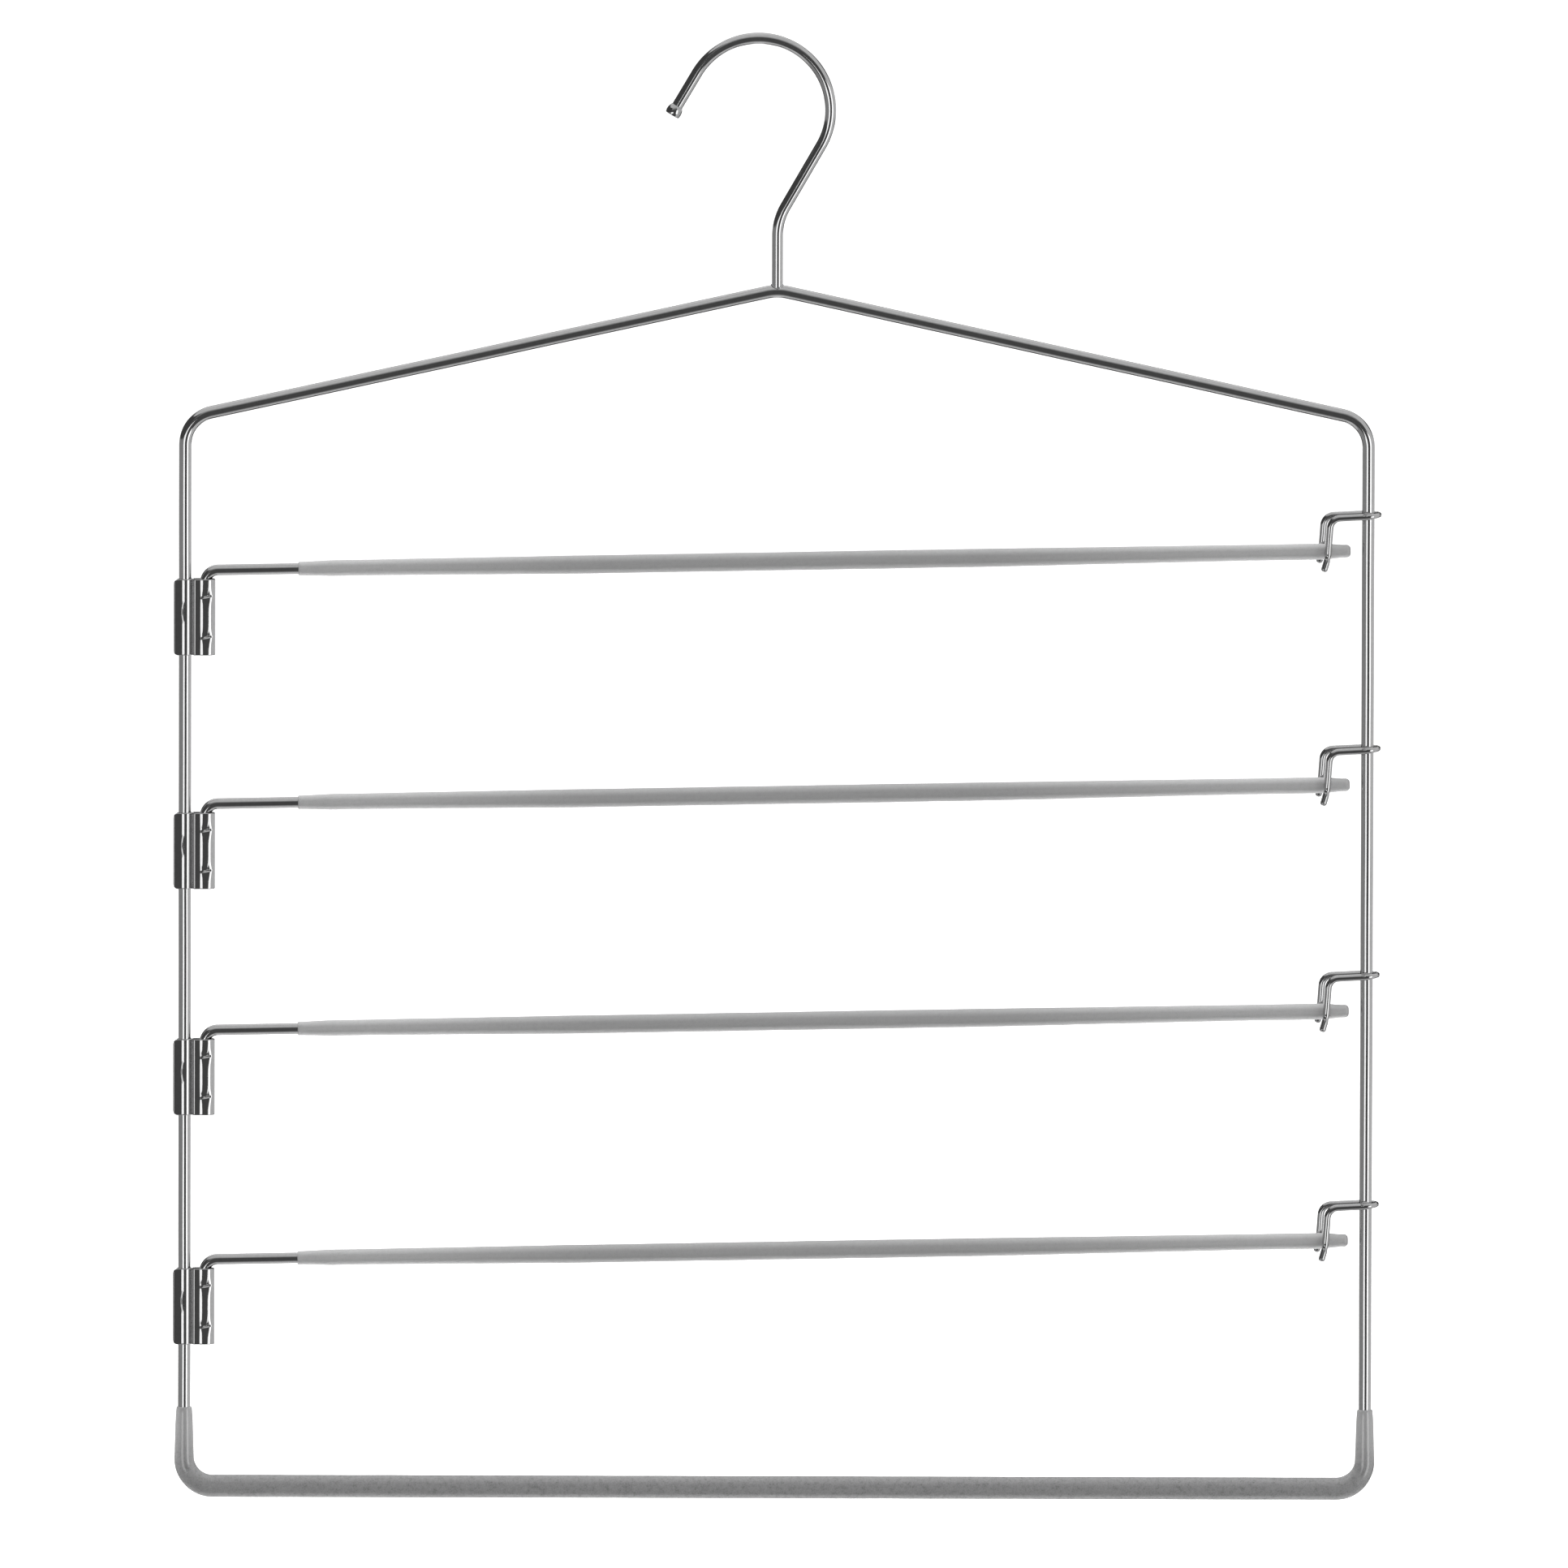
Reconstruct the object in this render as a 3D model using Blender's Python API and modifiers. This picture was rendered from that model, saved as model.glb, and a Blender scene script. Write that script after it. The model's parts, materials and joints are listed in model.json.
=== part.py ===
"""Multi-tier trouser hanger: a welded wire frame with four swinging bars and a coated bottom bar.

Metres, +Z up, +X to the right, front towards -Y. The origin is the top of the hook's inside,
where the hook rests on a wardrobe rail, and the frame hangs below it in the plane y = 0.
"""

from math import asin, atan2, cos, pi, radians, sin, sqrt, tan

import bmesh
import bpy
from mathutils import Vector

# Clearances
seat_gap = 0.0003  # between pieces that are welded, crimped or resting
coat_gap = 0.0002  # between a coat and the wire inside it

# Frame wire
frame_wire_radius = 0.0020
post_spacing = 0.3715  # between the axes of the two posts
shoulder_fall = 0.0408  # from the apex corner down to the shoulder corners
apex_bend_radius = 0.0150
shoulder_bend_radius = 0.0104
bottom_bend_radius = 0.0090

# Tiers: how far down the frame each bar's pin end lies, as a share of the frame's height
frame_height = 0.3784  # from the apex corner to the bottom bar's axis
tier_shares = (0.2347, 0.4297, 0.6187, 0.8105)

# Hook
hook_wire_radius = 0.0018
hook_inner_radius = 0.0208
hook_mouth_turn = radians(59.4)  # arc from the top to the open end's straight leg
hook_back_turn = radians(120.0)  # arc from the top to the straight run down to the stem
hook_leg_length = 0.0135
hook_stem_offset = 0.0060  # stem axis to the right of the rail seat
hook_stem_bend_radius = 0.0180
hook_drop = 0.07755  # from the rail seat to the frame's apex corner

# Ball tip: a dome cut off flat just past its widest section
ball_wall = 0.0007
ball_dome_length = 0.0031
ball_flat_length = 0.0011
ball_bore_depth = 0.0016

# Swing arms
arm_wire_radius = 0.0017
arm_bend_radius = 0.0041
arm_rise = radians(1.11)
arm_lift = 0.0027  # bar axis above the top of the hinge clip
arm_end_gap = 0.0055  # from the bar's coated end to the right post's axis
pin_end_inset = 0.0010

# Coat of the swing arms
arm_coat = 0.00075
arm_coat_lip = 0.00045
arm_coat_lip_run = 0.0120
arm_coat_end = 0.00055
arm_coat_end_run = 0.0180
arm_coat_start = 0.0293  # from the pin's axis
arm_coat_cap = 0.0016
arm_coat_cap_rounding = 0.0012

# Coat of the bottom bar
bar_coat = 0.0016
bar_coat_lip = 0.0005
bar_coat_run = 0.0251  # how far the coat climbs each post
bar_coat_rim = 0.0004
bar_coat_growth = 1.5  # power of the climb by which the coat thickens towards the bar

# Hinge clips
clip_sheet = 0.0005
clip_height = 0.0240
clip_flange = 0.0011
clip_corner = 0.0008
clip_corner_shape = 0.5  # bevel profile of a quarter round
pin_offset = 0.0063  # from the left post's axis to the pin's axis
pin_clearance = 0.00088
dimple_inset = 0.0056  # from either end of the clip
dimple_half_height = 0.0020
dimple_bite = 0.0002  # how far a dimple reaches inside the pin's surface

# Catches
catch_wire_radius = 0.0010
catch_headroom = 0.0112  # wire axis above the bar's axis
catch_front_reach = 0.0119  # from the right post's axis to the front leg
catch_rear_reach = 0.0146
catch_leg_drop = 0.0036  # where a leg turns outwards, below the bar's axis
catch_tip_drop = 0.0018
catch_tip_flare = 0.0011
catch_lean = radians(4.0)
catch_bend_radius = 0.0034
catch_tip_bend_radius = 0.0015

# Fineness of the round shapes
wire_rings = 4  # bevel resolution: 4 + 2 * rings sides
thin_wire_rings = 2
bend_steps = 6
hook_arc_steps = 26
turned_steps = 16
wrap_steps = 6
tube_steps = 14
dome_steps = 5
corner_steps = 3

# Places that follow from the sizes above
apex_z = -hook_drop
left_post_x = hook_stem_offset - post_spacing / 2
right_post_x = hook_stem_offset + post_spacing / 2
shoulder_z = apex_z - shoulder_fall
bar_heights = [apex_z - frame_height * share for share in tier_shares]
bottom_z = apex_z - frame_height
pin_x = left_post_x + pin_offset
arm_reach = right_post_x - arm_end_gap - pin_x
arm_direction = Vector((cos(arm_rise), 0, sin(arm_rise)))
arm_coat_radius = arm_wire_radius + arm_coat
clip_top = -arm_lift
clip_bottom = clip_top - clip_height
dimple_heights = (clip_bottom + dimple_inset, clip_top - dimple_inset)
tube_inner_radius = arm_wire_radius + pin_clearance


def clear_scene():
    for old in list(bpy.data.objects):
        bpy.data.objects.remove(old, do_unlink=True)


def new_collection(name):
    collection = bpy.data.collections.new(name)
    bpy.context.scene.collection.children.link(collection)
    return collection


def finish(name, colour, roughness, metallic):
    material = bpy.data.materials.new(name)
    material.use_nodes = True
    shader = material.node_tree.nodes["Principled BSDF"]
    shader.inputs["Base Color"].default_value = (*colour, 1)
    shader.inputs["Roughness"].default_value = roughness
    shader.inputs["Metallic"].default_value = metallic
    return material


def corner_arc(before, corner, after, radius):
    """Points of the arc that rounds one corner of a path."""
    back = (before - corner).normalized()
    ahead = (after - corner).normalized()
    half = back.angle(ahead) / 2
    centre = corner + (back + ahead).normalized() * radius / sin(half)
    first = corner + back * radius / tan(half) - centre
    last = corner + ahead * radius / tan(half) - centre
    turn = pi - 2 * half
    shares = [step / bend_steps for step in range(bend_steps + 1)]
    return [centre + (first * sin(turn * (1 - s)) + last * sin(turn * s)) / sin(turn) for s in shares]


def rounded_path(corners, radii):
    """An open path through the corners, with an arc at each inner corner."""
    points = [corners[0]]
    for before, corner, after, radius in zip(corners, corners[1:], corners[2:], radii):
        arc = corner_arc(before, corner, after, radius)
        meets = (arc[0] - points[-1]).length < seat_gap / 2
        points += arc[1:] if meets else arc
    return points + [corners[-1]]


def wire(name, points, radius, material, collection, rings=wire_rings, swell=None, closed=False):
    """A round wire along the points; swell holds each point's share of the radius."""
    curve = bpy.data.curves.new(name, "CURVE")
    curve.dimensions = "3D"
    curve.bevel_depth = radius
    curve.bevel_resolution = rings
    curve.use_fill_caps = True
    spline = curve.splines.new("POLY")
    spline.points.add(len(points) - 1)
    spline.use_cyclic_u = closed
    for index, place in enumerate(points):
        spline.points[index].co = (*place, 1)
        spline.points[index].radius = swell[index] if swell else 1
    curve.materials.append(material)
    made = bpy.data.objects.new(name, curve)
    collection.objects.link(made)
    return made


def as_mesh(curve_object):
    """The curve as a welded mesh object of the same name."""
    name = curve_object.name
    collection = curve_object.users_collection[0]
    bpy.context.view_layer.update()
    graph = bpy.context.evaluated_depsgraph_get()
    mesh = bpy.data.meshes.new_from_object(curve_object.evaluated_get(graph))
    welded = bmesh.new()
    welded.from_mesh(mesh)
    bmesh.ops.remove_doubles(welded, verts=welded.verts, dist=seat_gap / 100)
    welded.to_mesh(mesh)
    welded.free()
    made = bpy.data.objects.new(name, mesh)
    made.matrix_world = curve_object.matrix_world
    bpy.data.objects.remove(curve_object, do_unlink=True)
    made.name = name
    collection.objects.link(made)
    return made


def cut(piece, cutter):
    cutter.hide_render = True
    cutter.display_type = "WIRE"
    boolean = piece.modifiers.new("cut", "BOOLEAN")
    boolean.operation = "DIFFERENCE"
    boolean.object = cutter


def turned_mesh(name, profile, material):
    """A mesh of the profile's points (radius, height), ready to be turned about Z."""
    mesh = bpy.data.meshes.new(name)
    links = [(index, index + 1) for index in range(len(profile) - 1)]
    mesh.from_pydata([(radius, 0, height) for radius, height in profile], links, [])
    mesh.materials.append(material)
    return mesh


def turned(name, mesh, collection):
    made = bpy.data.objects.new(name, mesh)
    screw = made.modifiers.new("turn", "SCREW")
    screw.steps = turned_steps
    screw.render_steps = turned_steps
    screw.use_merge_vertices = True
    screw.merge_threshold = 0.00001
    screw.use_smooth_shade = True
    collection.objects.link(made)
    return made


def shoulder_corners():
    """Left shoulder, apex and right shoulder of the frame."""
    return (
        Vector((left_post_x, 0, shoulder_z)),
        Vector((hook_stem_offset, 0, apex_z)),
        Vector((right_post_x, 0, shoulder_z)),
    )


def make_frame_wire(material, collection):
    left, apex, right = shoulder_corners()
    bottom_right = Vector((right_post_x, 0, bottom_z))
    bottom_left = Vector((left_post_x, 0, bottom_z))
    corners = (left, apex, right, bottom_right, bottom_left)
    radii = (shoulder_bend_radius, apex_bend_radius, shoulder_bend_radius, bottom_bend_radius, bottom_bend_radius)
    points = []
    for index, radius in enumerate(radii):
        points += corner_arc(corners[index - 1], corners[index], corners[(index + 1) % len(corners)], radius)
    return wire("frame_wire", points, frame_wire_radius, material, collection, closed=True)


def hook_path():
    """From the wire's open end round the hook and down the stem to the frame's apex."""
    arc_radius = hook_inner_radius + hook_wire_radius
    centre = Vector((0, 0, -hook_inner_radius))
    span = hook_mouth_turn + hook_back_turn
    turns = [hook_mouth_turn - span * step / hook_arc_steps for step in range(hook_arc_steps + 1)]
    arc = [centre + arc_radius * Vector((-sin(turn), 0, cos(turn))) for turn in turns]
    leg = Vector((-cos(hook_mouth_turn), 0, -sin(hook_mouth_turn)))
    fall = Vector((cos(hook_back_turn), 0, -sin(hook_back_turn)))
    stem_top = arc[-1] + fall * (hook_stem_offset - arc[-1].x) / fall.x
    stem_end = Vector((hook_stem_offset, 0, apex_z))
    tail = rounded_path([arc[-1], stem_top, stem_end], [hook_stem_bend_radius])
    return [arc[0] + leg * hook_leg_length] + arc + tail[1:], leg


def make_hook(material, collection, cutters):
    """The stem's end is hollowed to sit on the apex of the frame wire."""
    hook = as_mesh(wire("hook", hook_path()[0], hook_wire_radius, material, collection))
    left, apex, right = shoulder_corners()
    bed = rounded_path([left, apex, right], [apex_bend_radius])
    cut(hook, as_mesh(wire("hook_bed", bed, frame_wire_radius + seat_gap, material, cutters)))
    hook.data.shade_smooth()
    return hook


def make_ball_tip(material, collection):
    """A dome over the wire's end; its height runs along the wire, away from the hook."""
    points, leg = hook_path()
    bore = hook_wire_radius + seat_gap
    widest = hook_wire_radius + ball_wall
    rim_turn = asin(bore / widest)
    flat_turn = pi / 2 + asin(ball_flat_length / ball_dome_length)
    turns = [flat_turn + (rim_turn - flat_turn) * step / dome_steps for step in range(dome_steps + 1)]
    dome = [(widest * sin(turn), -ball_dome_length * cos(turn)) for turn in turns]
    bore_end = dome[-1][1] + ball_bore_depth
    profile = [(0, dome[0][1])] + dome + [(bore, bore_end), (0, bore_end)]
    tip = turned("hook_ball_tip", turned_mesh("hook_ball_tip", profile, material), collection)
    tip.rotation_euler = leg.to_track_quat("Z", "Y").to_euler()
    tip.location = points[0] - leg * (bore_end - seat_gap)
    return tip


def coat_path(climb):
    """Up the left post, round the bottom and up the right post, as far as the coat climbs."""
    corners = [
        Vector((left_post_x, 0, bottom_z + climb)),
        Vector((left_post_x, 0, bottom_z)),
        Vector((right_post_x, 0, bottom_z)),
        Vector((right_post_x, 0, bottom_z + climb)),
    ]
    return rounded_path(corners, [bottom_bend_radius, bottom_bend_radius])


def make_bottom_sleeve(material, collection, cutters):
    """A dip coat: thin where it ends on the posts, thickest along the bar."""
    path = coat_path(bar_coat_run)
    straight = bar_coat_run - bottom_bend_radius
    drops = (bar_coat_rim, straight / 4, straight / 2, straight * 3 / 4)
    down = [path[0] - Vector((0, 0, drop)) for drop in drops]
    up = [path[-1] - Vector((0, 0, drop)) for drop in reversed(drops)]
    points = [path[0]] + down + path[1:-1] + up + [path[-1]]
    full = frame_wire_radius + bar_coat
    swell = []
    for place in points:
        fallen = (points[0].z - place.z) / bar_coat_run
        coat = bar_coat_lip + (bar_coat - bar_coat_lip) * fallen**bar_coat_growth
        swell.append((frame_wire_radius + coat) / full)
    swell[0] = swell[-1] = swell[0] - bar_coat_rim / 2 / full
    sleeve = as_mesh(wire("bottom_sleeve", points, full, material, collection, swell=swell))
    bore = coat_path(bar_coat_run + bottom_bend_radius)
    cut(sleeve, as_mesh(wire("bottom_bore", bore, frame_wire_radius + coat_gap, material, cutters)))
    sleeve.data.shade_smooth()
    return sleeve


def arm_curve_points():
    """From the lower end of the pin up through its two grooves, round the bend and along the bar."""
    groove = (arm_wire_radius - dimple_bite - seat_gap) / arm_wire_radius
    step = dimple_bite
    pin = [(clip_bottom + pin_end_inset, 1)]
    for height in dimple_heights:
        low = height - dimple_half_height
        high = height + dimple_half_height
        pin += [(low - step, 1), (low, groove), (high, groove), (high + step, 1)]
    end = arm_direction * (arm_reach / cos(arm_rise) - arm_coat_cap)
    lower = [Vector((0, 0, height)) for height, share in pin]
    bend = rounded_path([lower[-1], Vector((0, 0, 0)), end], [arm_bend_radius])
    return lower + bend[1:], [share for height, share in pin] + [1] * (len(bend) - 1)


def arm_sleeve_profile():
    """Coat outline (radius, distance along the bar): closed end, bar, lip, then the blind bore."""
    end = arm_reach / cos(arm_rise)
    bore = arm_wire_radius + coat_gap
    blunt = arm_wire_radius + arm_coat_end
    lip = arm_wire_radius + arm_coat_lip
    rounding = arm_coat_cap_rounding
    quarter = [pi / 2 * step / dome_steps for step in range(dome_steps + 1)]
    cap = [(blunt - rounding + rounding * sin(turn), end - rounding + rounding * cos(turn)) for turn in quarter]
    rim = arm_coat_lip - coat_gap
    return (
        [(0, end)]
        + cap
        + [
            (arm_coat_radius, end - arm_coat_end_run),
            (arm_coat_radius, arm_coat_start + arm_coat_lip_run),
            (lip, arm_coat_start + rim / 2),
            (lip - rim / 2, arm_coat_start),
            (bore, arm_coat_start),
            (bore, end - arm_coat_cap + coat_gap),
            (0, end - arm_coat_cap + coat_gap),
        ]
    )


def circle_run(centre_x, radius, first, last, steps):
    """Points round a circle of the clip's plan, from one angle to another."""
    turns = [first + (last - first) * step / steps for step in range(steps + 1)]
    return [(centre_x + radius * cos(turn), radius * sin(turn)) for turn in turns]


def clip_plan():
    """The strap's middle line in plan, about the pin: front flange, wrap, tube and back again."""
    half_web = (seat_gap + clip_sheet) / 2
    wrap = frame_wire_radius + seat_gap + clip_sheet / 2
    tube = tube_inner_radius + clip_sheet / 2
    wrap_start = asin(half_web / wrap)
    tube_start = asin(half_web / tube)
    flange_x = -pin_offset - wrap * cos(wrap_start) - clip_flange
    front = circle_run(-pin_offset, wrap, pi + wrap_start, 2 * pi - wrap_start, wrap_steps)
    round_pin = circle_run(0, tube, pi + tube_start, 3 * pi - tube_start, tube_steps)
    back = circle_run(-pin_offset, wrap, wrap_start, pi - wrap_start, wrap_steps)
    return [(flange_x, -half_web)] + front + round_pin + back + [(flange_x, half_web)]


def press_dimples(sheet):
    """Pushes the front of the tube in at the two crimps, to run in the pin's grooves."""
    tube = tube_inner_radius + clip_sheet / 2
    depth = pin_clearance + dimple_bite
    for point in sheet.verts:
        if sqrt(point.co.x**2 + point.co.y**2) > tube + seat_gap or point.co.x < -tube:
            continue
        facing = cos(atan2(point.co.x, -point.co.y))
        for height in dimple_heights:
            near = 1 - abs(point.co.z - height) / dimple_half_height
            if facing > 0 and near > 0:
                shrink = 1 - depth * facing**2 * near / tube
                point.co.x *= shrink
                point.co.y *= shrink


def clip_mesh(material):
    """The strap raised from its plan in levels, crimped, with rounded flange corners."""
    levels = [clip_bottom]
    for height in dimple_heights:
        levels += [height - dimple_half_height, height, height + dimple_half_height]
    levels.append(clip_top)
    sheet = bmesh.new()
    row = [sheet.verts.new((x, y, clip_bottom)) for x, y in clip_plan()]
    edges = [sheet.edges.new(pair) for pair in zip(row, row[1:])]
    for low, high in zip(levels, levels[1:]):
        grown = bmesh.ops.extrude_edge_only(sheet, edges=edges)["geom"]
        risen = [item for item in grown if isinstance(item, bmesh.types.BMVert)]
        bmesh.ops.translate(sheet, verts=risen, vec=(0, 0, high - low))
        edges = [item for item in grown if isinstance(item, bmesh.types.BMEdge) and item.is_boundary]
        edges = [item for item in edges if all(end in risen for end in item.verts)]
    press_dimples(sheet)
    corners = [point for point in sheet.verts if len(point.link_edges) == 2]
    rounding = {"offset": clip_corner, "segments": corner_steps, "profile": clip_corner_shape}
    bmesh.ops.bevel(sheet, geom=corners, affect="VERTICES", **rounding)
    mesh = bpy.data.meshes.new("hinge_clip")
    sheet.to_mesh(mesh)
    sheet.free()
    mesh.materials.append(material)
    mesh.shade_smooth()
    return mesh


def make_hinge_clip(name, mesh, collection):
    clip = bpy.data.objects.new(name, mesh)
    wall = clip.modifiers.new("sheet", "SOLIDIFY")
    wall.thickness = clip_sheet
    wall.offset = 0
    wall.use_even_offset = True
    collection.objects.link(clip)
    return clip


def catch_path():
    """Hairpin about the right post's axis at the wires' height: front tip, loop, rear tip."""
    leg_y = arm_coat_radius + seat_gap + catch_wire_radius
    loop = frame_wire_radius + seat_gap + catch_wire_radius
    corners = []
    for side, reach in ((-1, catch_front_reach), (1, catch_rear_reach)):
        top = Vector((-reach, side * leg_y, 0))
        down = Vector((-tan(catch_lean), 0, -1))
        turn_out = top + down * (catch_headroom + catch_leg_drop)
        tip = turn_out + down * catch_tip_drop + Vector((0, side * catch_tip_flare, 0))
        run = [tip, turn_out, top, Vector((loop, side * loop, 0))]
        corners += run if side < 0 else run[::-1]
    bends = [catch_tip_bend_radius, catch_bend_radius, loop]
    return rounded_path(corners, bends + bends[::-1])


def make_tier(tier, height, shared, collection):
    """One swing arm on its pivot, with its clip on the left post and its catch on the right."""
    number = tier + 1
    pivot = bpy.data.objects.new(f"arm_pivot_{number}", None)
    pivot.location = (pin_x, 0, height)
    pivot.empty_display_size = clip_height
    collection.objects.link(pivot)
    arm = bpy.data.objects.new(f"swing_arm_{number}", shared["arm"])
    collection.objects.link(arm)
    sleeve = turned(f"arm_sleeve_{number}", shared["sleeve"], collection)
    sleeve.rotation_euler = arm_direction.to_track_quat("Z", "Y").to_euler()
    for piece in (arm, sleeve):
        piece.parent = pivot
    clip = make_hinge_clip(f"hinge_clip_{number}", shared["clip"], collection)
    clip.location = (pin_x, 0, height)
    catch_height = height + (right_post_x - catch_front_reach - pin_x) * tan(arm_rise) + catch_headroom
    catch = bpy.data.objects.new(f"catch_{number}", shared["catch"])
    catch.location = (right_post_x, 0, catch_height)
    collection.objects.link(catch)


def shared_shapes(chrome, coat, sheet_metal, spring_wire, collection):
    """The shapes that every tier repeats, as curve and mesh data."""
    points, swell = arm_curve_points()
    arm = wire("swing_arm", points, arm_wire_radius, chrome, collection, swell=swell)
    catch = wire("catch", catch_path(), catch_wire_radius, spring_wire, collection, rings=thin_wire_rings)
    shapes = {
        "arm": arm.data,
        "catch": catch.data,
        "sleeve": turned_mesh("arm_sleeve", arm_sleeve_profile(), coat),
        "clip": clip_mesh(sheet_metal),
    }
    for sample in (arm, catch):
        bpy.data.objects.remove(sample, do_unlink=True)
    return shapes


def main():
    clear_scene()
    parts = new_collection("trouser_hanger")
    cutters = new_collection("cutters")
    frame_chrome = finish("frame_chrome", (0.80, 0.80, 0.81), 0.08, 1.0)
    hook_chrome = finish("hook_chrome", (0.80, 0.80, 0.81), 0.08, 1.0)
    tip_chrome = finish("tip_chrome", (0.76, 0.76, 0.77), 0.12, 1.0)
    arm_chrome = finish("arm_chrome", (0.78, 0.78, 0.79), 0.10, 1.0)
    clip_chrome = finish("clip_chrome", (0.72, 0.72, 0.73), 0.14, 1.0)
    catch_chrome = finish("catch_chrome", (0.76, 0.76, 0.77), 0.12, 1.0)
    arm_coat_grey = finish("arm_coat_grey", (0.36, 0.36, 0.36), 0.35, 0.0)
    bar_coat_grey = finish("bar_coat_grey", (0.30, 0.30, 0.30), 0.35, 0.0)
    make_frame_wire(frame_chrome, parts)
    make_hook(hook_chrome, parts, cutters)
    make_ball_tip(tip_chrome, parts)
    make_bottom_sleeve(bar_coat_grey, parts, cutters)
    shared = shared_shapes(arm_chrome, arm_coat_grey, clip_chrome, catch_chrome, parts)
    for tier, height in enumerate(bar_heights):
        make_tier(tier, height, shared, parts)


main()
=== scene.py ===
import json
import math

import bmesh
import bpy
import numpy as np
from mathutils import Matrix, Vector


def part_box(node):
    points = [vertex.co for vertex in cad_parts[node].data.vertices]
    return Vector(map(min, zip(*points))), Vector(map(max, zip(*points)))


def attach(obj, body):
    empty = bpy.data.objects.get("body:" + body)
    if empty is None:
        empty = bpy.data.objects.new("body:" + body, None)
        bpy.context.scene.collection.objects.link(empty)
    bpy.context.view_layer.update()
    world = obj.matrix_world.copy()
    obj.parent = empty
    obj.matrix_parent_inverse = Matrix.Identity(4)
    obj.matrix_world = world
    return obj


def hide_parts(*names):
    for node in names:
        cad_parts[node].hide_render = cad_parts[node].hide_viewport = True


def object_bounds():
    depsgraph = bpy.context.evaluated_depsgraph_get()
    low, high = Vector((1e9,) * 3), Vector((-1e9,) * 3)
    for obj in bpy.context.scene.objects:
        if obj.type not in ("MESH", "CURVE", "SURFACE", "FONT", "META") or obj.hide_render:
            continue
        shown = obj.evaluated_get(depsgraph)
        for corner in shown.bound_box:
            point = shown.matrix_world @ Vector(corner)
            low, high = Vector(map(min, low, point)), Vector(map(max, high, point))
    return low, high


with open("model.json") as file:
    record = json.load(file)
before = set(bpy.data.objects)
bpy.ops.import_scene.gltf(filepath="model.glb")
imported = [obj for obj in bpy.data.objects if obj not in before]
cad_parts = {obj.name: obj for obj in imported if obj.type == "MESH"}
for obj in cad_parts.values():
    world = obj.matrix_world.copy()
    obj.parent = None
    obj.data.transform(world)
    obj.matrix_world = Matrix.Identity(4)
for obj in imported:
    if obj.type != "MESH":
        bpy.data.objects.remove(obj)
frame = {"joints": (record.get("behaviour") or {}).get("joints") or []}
cadLow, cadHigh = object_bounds()
scene = bpy.context.scene

# Frame wire, in metres
frameWire = {
    "radius": 0.0020,
    "shoulderFall": 0.0408,  # apex corner down to the shoulder corners
    "apexBend": 0.0150,
    "shoulderBend": 0.0104,
    "bottomBend": 0.0090,
    "waver": 0.00004,  # how far the drawn wire strays from its line
    "waves": (9, 17, 31),
    "seeds": (1, 2, 3),
    "sides": 32,
}

# Places that the solids give
joints = frame["joints"]
pinX = joints[0]["pos_m"][0]
tierHeights = [joint["pos_m"][2] for joint in joints]
tierBodies = [joint["child"] for joint in joints]
wireLow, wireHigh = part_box("frame_wire")
postLeftX = wireLow.x + frameWire["radius"]
postRightX = wireHigh.x - frameWire["radius"]
stemX = (postLeftX + postRightX) / 2
bottomZ = wireLow.z + frameWire["radius"]
shoulderSlope = math.atan2(frameWire["shoulderFall"], postRightX - stemX)
apexCut = frameWire["apexBend"] * (1 / math.cos(shoulderSlope) - 1)  # corner to the bend's middle
apexZ = wireHigh.z - frameWire["radius"] + apexCut
shoulderZ = apexZ - frameWire["shoulderFall"]


def unit(vectors):
    return vectors / np.linalg.norm(vectors, axis=-1, keepdims=True)


# Length along a path at each of its points
def runLength(path):
    return np.append(0, np.linalg.norm(np.diff(path, axis=0), axis=1).cumsum())


# 0 below low, 1 above high, and 3t^2 - 2t^3 between them
def easeIn(values, low, high):
    share = np.clip((values - low) / (high - low), 0, 1)
    return share * share * (3 - 2 * share)


# Smooth unevenness: a sum of sines with whole numbers of waves over the length, from -1 to 1
def unevenness(length, waves, seed):
    phase = np.random.default_rng(seed).uniform(0, 2 * np.pi, len(waves))
    share = np.linspace(0, 1, length, endpoint=False)[:, None]
    return np.sin(2 * np.pi * share * np.array(waves) + phase).mean(axis=1)


# A drawn wire's small wavers along x, y and z
def stray(length, wire):
    shares = [unevenness(length, wire["waves"], seed) for seed in wire["seeds"]]
    return np.stack(shares, axis=1) * wire["waver"]


# Straight runs joined by arcs: each inner corner becomes the circle that touches both of its sides
def bentPath(corners, radii, straightStep=0.003, arcStep=0.05, closed=False, closest=0.00001):
    corners = np.array(corners, float)
    count = len(corners)
    arcs = []
    for index, radius in zip(range(count) if closed else range(1, count - 1), radii):
        here = corners[index]
        back = unit(corners[index - 1] - here)
        ahead = unit(corners[(index + 1) % count] - here)
        half = math.acos(np.clip(back @ ahead, -1, 1)) / 2
        centre = here + unit(back + ahead) * radius / math.sin(half)
        first = here + back * radius / math.tan(half) - centre
        last = here + ahead * radius / math.tan(half) - centre
        turn = math.pi - 2 * half
        steps = math.ceil(max(turn / arcStep, turn * radius / straightStep))
        share = np.linspace(0, 1, steps + 1)[:, None]
        spokes = first * np.sin(turn * (1 - share)) + last * np.sin(turn * share)
        arcs.append(centre + spokes / math.sin(turn))
    runs = arcs + arcs[:1] if closed else [corners[:1]] + arcs + [corners[-1:]]
    parts = []
    for current, following in zip(runs, runs[1:]):
        gap = following[0] - current[-1]
        steps = max(1, math.ceil(np.linalg.norm(gap) / straightStep))
        parts += [current, current[-1] + gap * np.arange(1, steps)[:, None] / steps]
    path = np.concatenate(parts if closed else parts + [runs[-1]])
    apart = np.linalg.norm(path - np.roll(path, 1, 0), axis=1) > closest
    return path[apart | (np.arange(len(path)) == 0)]


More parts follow.
